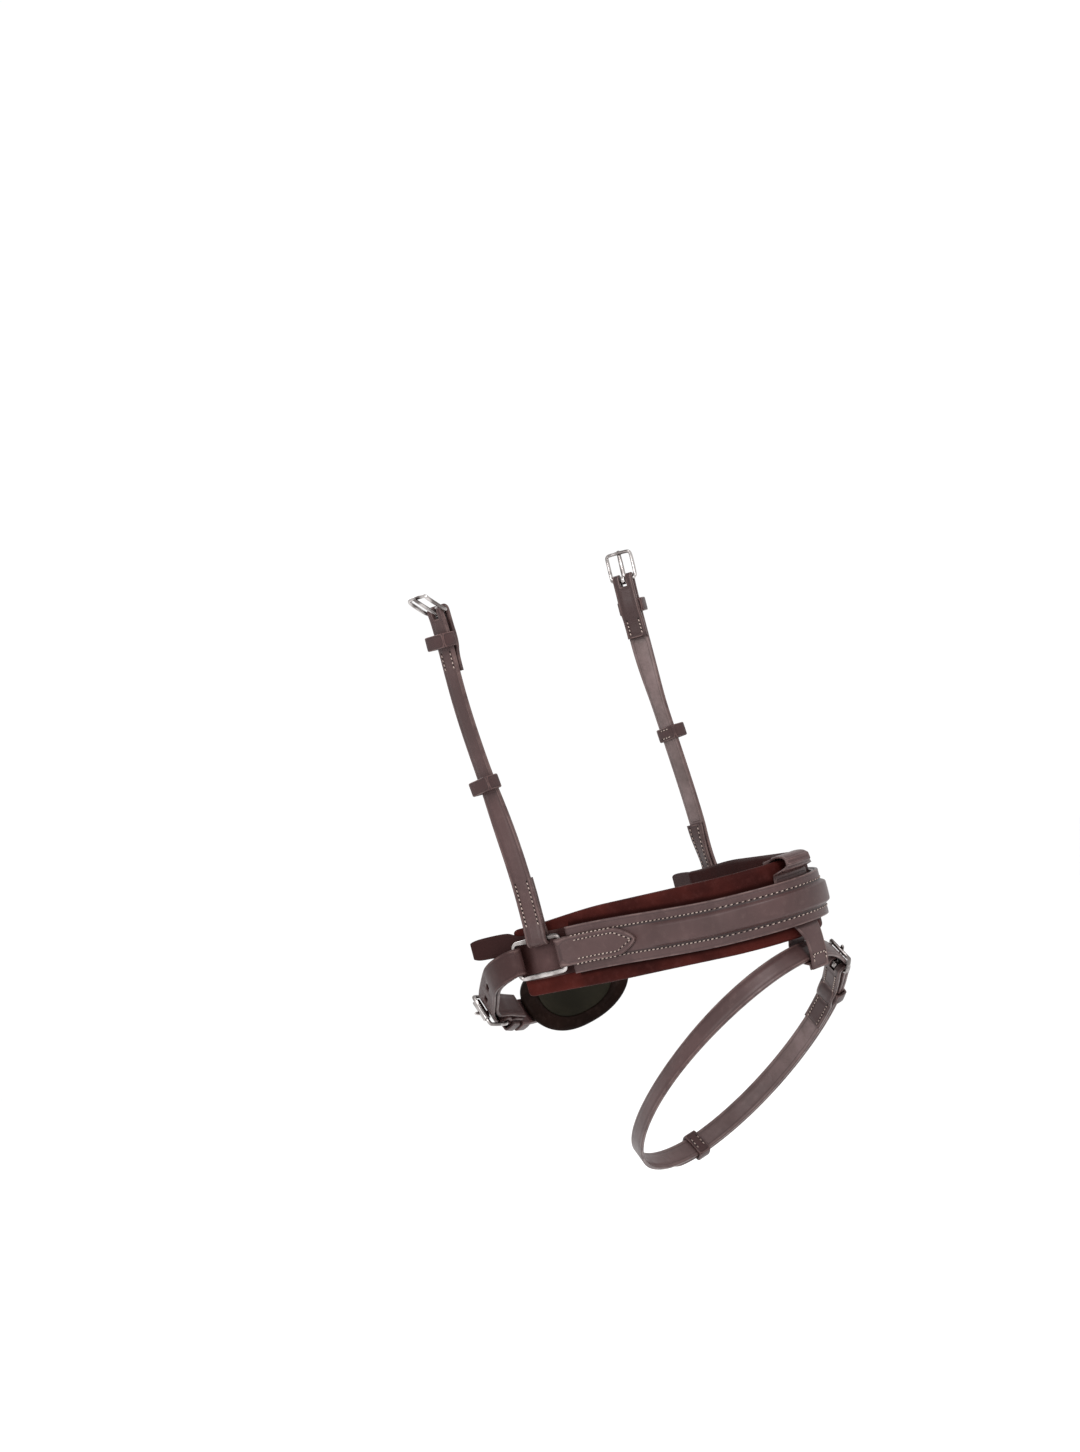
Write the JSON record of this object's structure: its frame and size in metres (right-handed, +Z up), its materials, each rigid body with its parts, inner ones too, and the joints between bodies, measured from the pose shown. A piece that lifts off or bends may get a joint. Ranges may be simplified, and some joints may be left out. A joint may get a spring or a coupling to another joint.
{
  "type": "noseband",
  "caption": "Padded noseband for a bridle: raised leather nosepiece, rings with hangers, padded chin strap with a roller buckle, and a strap loop below it.",
  "frame": {"origin": "middle of the front of the nosepiece's inner face, at half its height", "axes": "+Z up the horse's face, -Y to the front of the nose, +X to the horse's left"},
  "size_m": [0.1849, 0.2293, 0.3562],
  "materials": {
    "brown_leather": "grained, half matt",
    "dark_leather": "smooth, darker edge-finished leather",
    "red_lining": "soft dark red-brown lining leather",
    "dark_lining": "matt greenish black lining",
    "foam": "soft filling",
    "steel": "polished stainless steel"
  },
  "bodies": {
    "nosepiece": {"nose_lining": "red_lining", "nose_foam": "foam", "nose_strap": "brown_leather", "raise_filler": "dark_leather", "face_leather": "brown_leather", "ring_guard_right": "dark_leather", "ring_guard_left": "dark_leather", "flash_tab": "brown_leather"},
    "ring_right": {"ring_right": "steel"},
    "ring_left": {"ring_left": "steel"},
    "chin": {"chin_strap": "brown_leather", "crank_billet": "brown_leather", "crank_keeper": "dark_leather", "chin_pad_cover": "brown_leather", "chin_pad_foam": "foam", "chin_pad_lining": "dark_lining"},
    "crank_frame": {"crank_buckle_frame": "steel"},
    "crank_roller": {"crank_buckle_roller": "steel"},
    "crank_tongue": {"crank_buckle_tongue": "steel"},
    "crank_runner": {"crank_runner": "dark_leather"},
    "flash": {"flash_strap": "brown_leather", "flash_keeper": "dark_leather"},
    "flash_frame": {"flash_buckle_frame": "steel"},
    "flash_tongue": {"flash_buckle_tongue": "steel"},
    "flash_runner": {"flash_runner": "dark_leather"},
    "hanger_right": {"hanger_right": "brown_leather", "hanger_keeper_right": "dark_leather"},
    "hanger_runner_right": {"hanger_runner_right": "dark_leather"},
    "hanger_frame_right": {"hanger_buckle_right_frame": "steel"},
    "hanger_tongue_right": {"hanger_buckle_right_tongue": "steel"},
    "hanger_left": {"hanger_left": "brown_leather", "hanger_keeper_left": "dark_leather"},
    "hanger_runner_left": {"hanger_runner_left": "dark_leather"},
    "hanger_frame_left": {"hanger_buckle_left_frame": "steel"},
    "hanger_tongue_left": {"hanger_buckle_left_tongue": "steel"}
  },
  "joints": [
    {"name": "ring_right_swing", "type": "hinge", "parent": "nosepiece", "child": "ring_right", "pos_m": [-0.07382, 0.10614, 0], "axis": [0, 0, 1], "range_deg": [-3, 3]},
    {"name": "ring_left_swing", "type": "hinge", "parent": "nosepiece", "child": "ring_left", "pos_m": [0.07382, 0.10614, 0], "axis": [0, 0, 1], "range_deg": [-3, 3]},
    {"name": "chin_swing", "type": "hinge", "parent": "ring_left", "child": "chin", "pos_m": [0.08467, 0.13195, 0], "axis": [0, 0, 1], "range_deg": [-3, 3]},
    {"name": "hanger_right_swing", "type": "hinge", "parent": "ring_right", "child": "hanger_right", "pos_m": [-0.07865, 0.11763, 0.01], "axis": [0.3875, -0.9219, 0], "range_deg": [-16, 80]},
    {"name": "hanger_runner_right_slide", "type": "slide", "parent": "hanger_right", "child": "hanger_runner_right", "axis": [0, 0.1308, 0.9914], "range_m": [-0.0008, 0.003]},
    {"name": "hanger_frame_right_turn", "type": "hinge", "parent": "hanger_right", "child": "hanger_frame_right", "pos_m": [-0.07855, 0.12855, 0.2], "axis": [-0.0384, -0.9993, 0], "range_deg": [-80, 25]},
    {"name": "hanger_tongue_right_turn", "type": "hinge", "parent": "hanger_frame_right", "child": "hanger_tongue_right", "pos_m": [-0.07855, 0.12855, 0.2], "axis": [-0.0384, -0.9993, 0], "range_deg": [0, 30]},
    {"name": "hanger_left_swing", "type": "hinge", "parent": "ring_left", "child": "hanger_left", "pos_m": [0.08077, 0.12266, 0.01], "axis": [0.3875, 0.9219, 0], "range_deg": [-16, 80]},
    {"name": "hanger_runner_left_slide", "type": "slide", "parent": "hanger_left", "child": "hanger_runner_left", "axis": [0, 0.0891, 0.996], "range_m": [-0.0008, 0.003]},
    {"name": "hanger_frame_left_turn", "type": "hinge", "parent": "hanger_left", "child": "hanger_frame_left", "pos_m": [0.07779, 0.12936, 0.195], "axis": [-0.4258, 0.9048, 0], "range_deg": [-60, 70]},
    {"name": "hanger_tongue_left_turn", "type": "hinge", "parent": "hanger_frame_left", "child": "hanger_tongue_left", "pos_m": [0.07779, 0.12936, 0.195], "axis": [-0.4258, 0.9048, 0], "range_deg": [0, 30]},
    {"name": "crank_frame_turn", "type": "hinge", "parent": "chin", "child": "crank_frame", "pos_m": [-0.04613, 0.19627, -0.02982], "axis": [-0.0593, -0.4846, -0.8727], "range_deg": [0, 4]},
    {"name": "crank_roller_turn", "type": "hinge", "parent": "crank_frame", "child": "crank_roller", "pos_m": [-0.06419, 0.19153, -0.02596], "axis": [-0.0593, -0.4846, -0.8727], "continuous": true},
    {"name": "crank_tongue_turn", "type": "hinge", "parent": "crank_frame", "child": "crank_tongue", "pos_m": [-0.04613, 0.19627, -0.02982], "axis": [-0.0593, -0.4846, -0.8727], "range_deg": [0, 3]},
    {"name": "crank_runner_slide", "type": "slide", "parent": "chin", "child": "crank_runner", "axis": [0.9593, 0.2216, -0.1748], "range_m": [-0.0008, 0.0012]},
    {"name": "flash_swing", "type": "hinge", "parent": "nosepiece", "child": "flash", "pos_m": [0, -0.00757, -0.0355], "axis": [1, 0, 0], "range_deg": [-8, 18]},
    {"name": "flash_frame_turn", "type": "hinge", "parent": "flash", "child": "flash_frame", "pos_m": [0.04478, 0.01705, -0.04694], "axis": [0, 0.6115, 0.7912], "range_deg": [0, 4]},
    {"name": "flash_tongue_turn", "type": "hinge", "parent": "flash_frame", "child": "flash_tongue", "pos_m": [0.04478, 0.01705, -0.04694], "axis": [0, 0.6115, 0.7912], "range_deg": [0, 3]},
    {"name": "flash_runner_slide", "type": "slide", "parent": "flash", "child": "flash_runner", "axis": [0.941, -0.2677, 0.2069], "range_m": [-0.002, 0.002]}
  ],
  "couplings": [
    {"joint": "ring_left_swing", "follows": "ring_right_swing", "ratio": 1},
    {"joint": "chin_swing", "follows": "ring_right_swing", "ratio": -0.87186}
  ]
}
